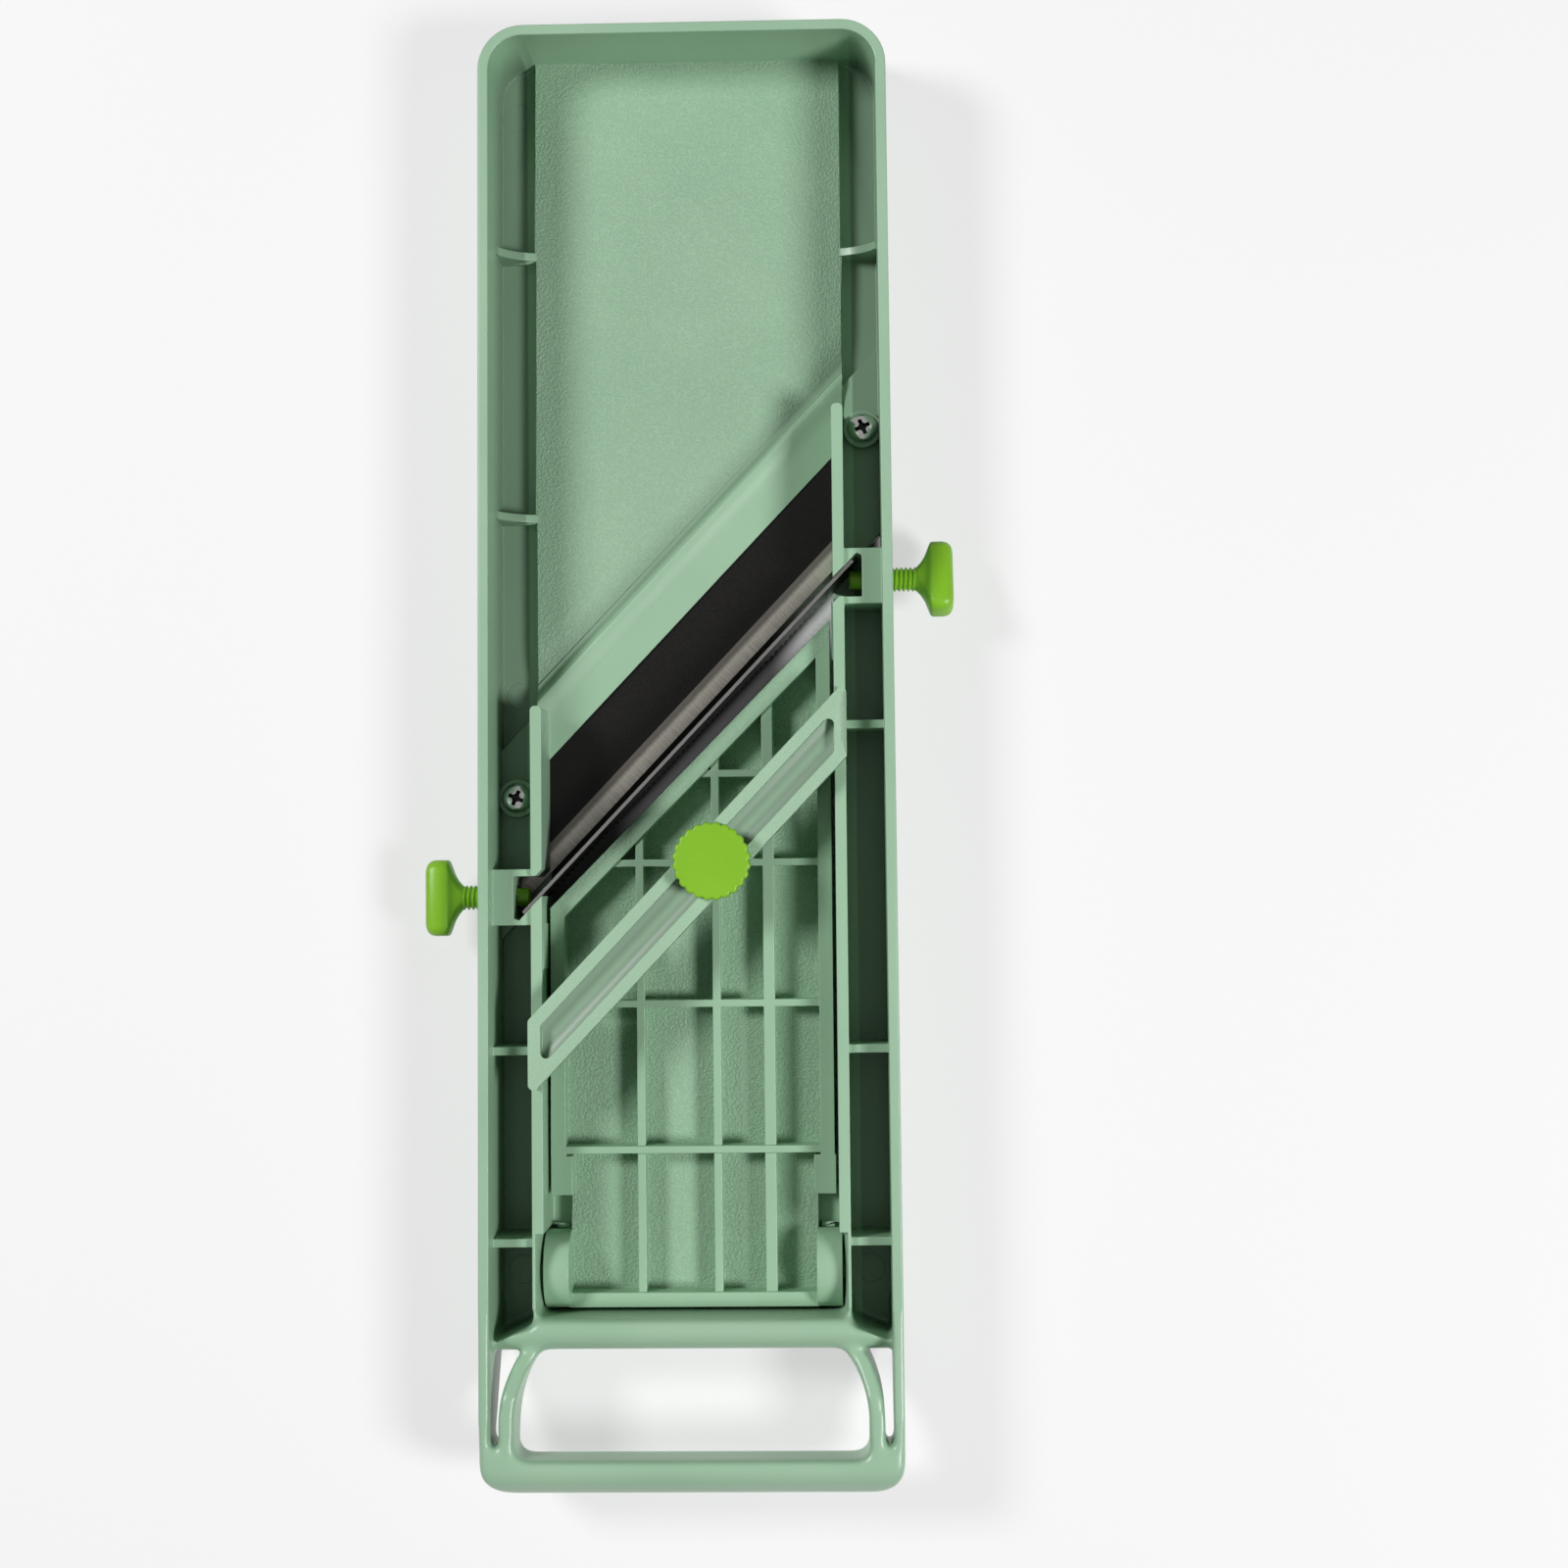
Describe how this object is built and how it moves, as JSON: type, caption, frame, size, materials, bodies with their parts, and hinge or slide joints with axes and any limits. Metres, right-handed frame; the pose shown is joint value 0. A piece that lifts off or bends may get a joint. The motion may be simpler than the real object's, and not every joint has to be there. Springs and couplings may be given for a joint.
{
  "type": "mandoline slicer",
  "caption": "Hand-held mandoline slicer with a slanted blade, a clamped julienne comb and a knob that swings the feed plate to set slice thickness.",
  "frame": {"origin": "centre of the body in plan, on the plane of its food side, on which it lies", "axes": "+X across the body, +Y along it away from the hand grip, +Z from the food side to the open back"},
  "size_m": [0.117, 0.3188, 0.0299],
  "materials": {
    "pale_green_plastic": "smooth moulded plastic, pebbled on the panel's back",
    "plate_plastic": "moulded plastic with a pebbled back",
    "bar_plastic": "fine-grained moulded plastic",
    "lime_plastic": "satin moulded plastic",
    "blade_steel": "dark rolled steel with a bright ground bevel",
    "comb_steel": "rolled steel",
    "bright_screw": "bright plated",
    "stem_steel": "turned steel",
    "nut_brass": "machined brass"
  },
  "bodies": {
    "frame": {"body_frame": "pale_green_plastic", "main_blade": "blade_steel", "blade_screw_upper": "bright_screw", "blade_screw_lower": "bright_screw", "bridge_bar": "bar_plastic"},
    "plate": {"feed_plate": "plate_plastic", "adjusting_nut": "nut_brass"},
    "knob": {"adjusting_knob": "lime_plastic", "adjusting_stem": "stem_steel", "retaining_clip": "stem_steel"},
    "comb": {"comb_blade": "comb_steel"},
    "left_clamp_tip": {"clamp_tip_left": "lime_plastic"},
    "left_clamp": {"clamp_screw_left": "lime_plastic"},
    "right_clamp_tip": {"clamp_tip_right": "lime_plastic"},
    "right_clamp": {"clamp_screw_right": "lime_plastic"}
  },
  "joints": [
    {"name": "plate_swing", "type": "hinge", "parent": "frame", "child": "plate", "pos_m": [0, -0.1128, 0.009], "axis": [1, 0, 0], "range_deg": [-0.87, 1.51]},
    {"name": "knob_turn", "type": "hinge", "parent": "frame", "child": "knob", "pos_m": [0.00545, -0.02389, 0.025], "axis": [0, 0, -1], "range_deg": [-487, 845]},
    {"name": "comb_lift", "type": "slide", "parent": "frame", "child": "comb", "axis": [0, 0, 1], "range_m": [0, 0.02]},
    {"name": "left_clamp_travel", "type": "slide", "parent": "frame", "child": "left_clamp_tip", "axis": [-1, 0, 0], "range_m": [0, 0.0045]},
    {"name": "left_clamp_turn", "type": "hinge", "parent": "left_clamp_tip", "child": "left_clamp", "pos_m": [-0.045, -0.03121, 0.012], "axis": [-1, 0, 0], "range_deg": [0, 1621]},
    {"name": "right_clamp_travel", "type": "slide", "parent": "frame", "child": "right_clamp_tip", "axis": [1, 0, 0], "range_m": [0, 0.0045]},
    {"name": "right_clamp_turn", "type": "hinge", "parent": "right_clamp_tip", "child": "right_clamp", "pos_m": [0.045, 0.03819, 0.012], "axis": [1, 0, 0], "range_deg": [0, 1621]}
  ],
  "couplings": [
    {"joint": "knob_turn", "follows": "plate_swing", "ratio": 558.66},
    {"joint": "left_clamp_turn", "follows": "left_clamp_travel", "rad_per_m": 6283.2},
    {"joint": "right_clamp_turn", "follows": "right_clamp_travel", "rad_per_m": 6283.2}
  ]
}
